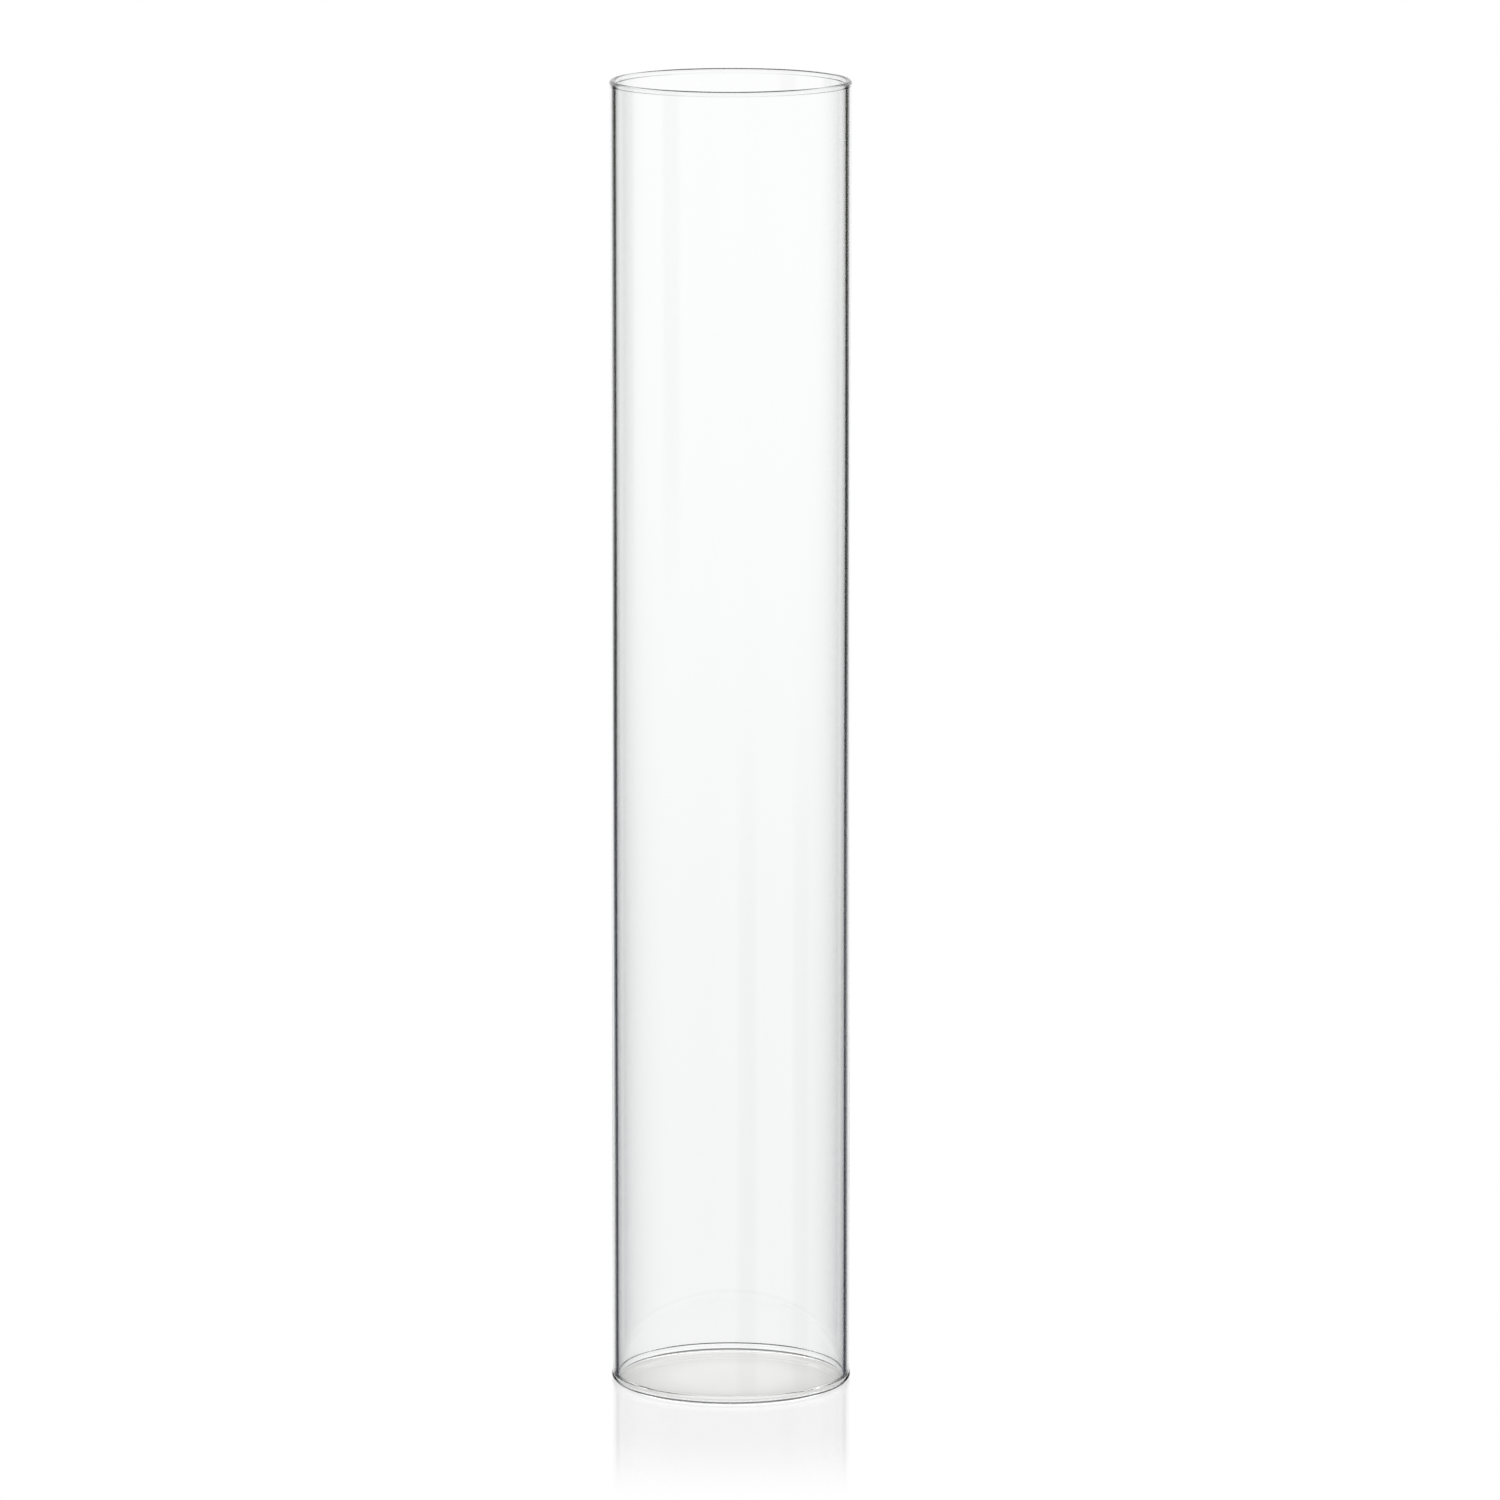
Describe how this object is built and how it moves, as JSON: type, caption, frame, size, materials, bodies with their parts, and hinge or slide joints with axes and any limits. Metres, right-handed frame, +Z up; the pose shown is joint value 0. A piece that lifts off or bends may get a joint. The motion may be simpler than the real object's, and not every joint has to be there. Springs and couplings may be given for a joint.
{
  "type": "glass cylinder vase",
  "caption": "Tall, slender clear glass cylinder, open right through, with a thin straight wall and rounded, fire-polished rims at top and bottom.",
  "frame": {"origin": "centre of the circle that the lower rim stands on", "axes": "+Z up the tube's axis, towards the upper rim; the object is round, so +X and +Y are any two directions across it"},
  "size_m": [0.1024, 0.1024, 0.5588],
  "materials": {
    "clear_glass": "clear, polished"
  },
  "bodies": {
    "root": {"glass_cylinder": "clear_glass"}
  },
  "joints": []
}
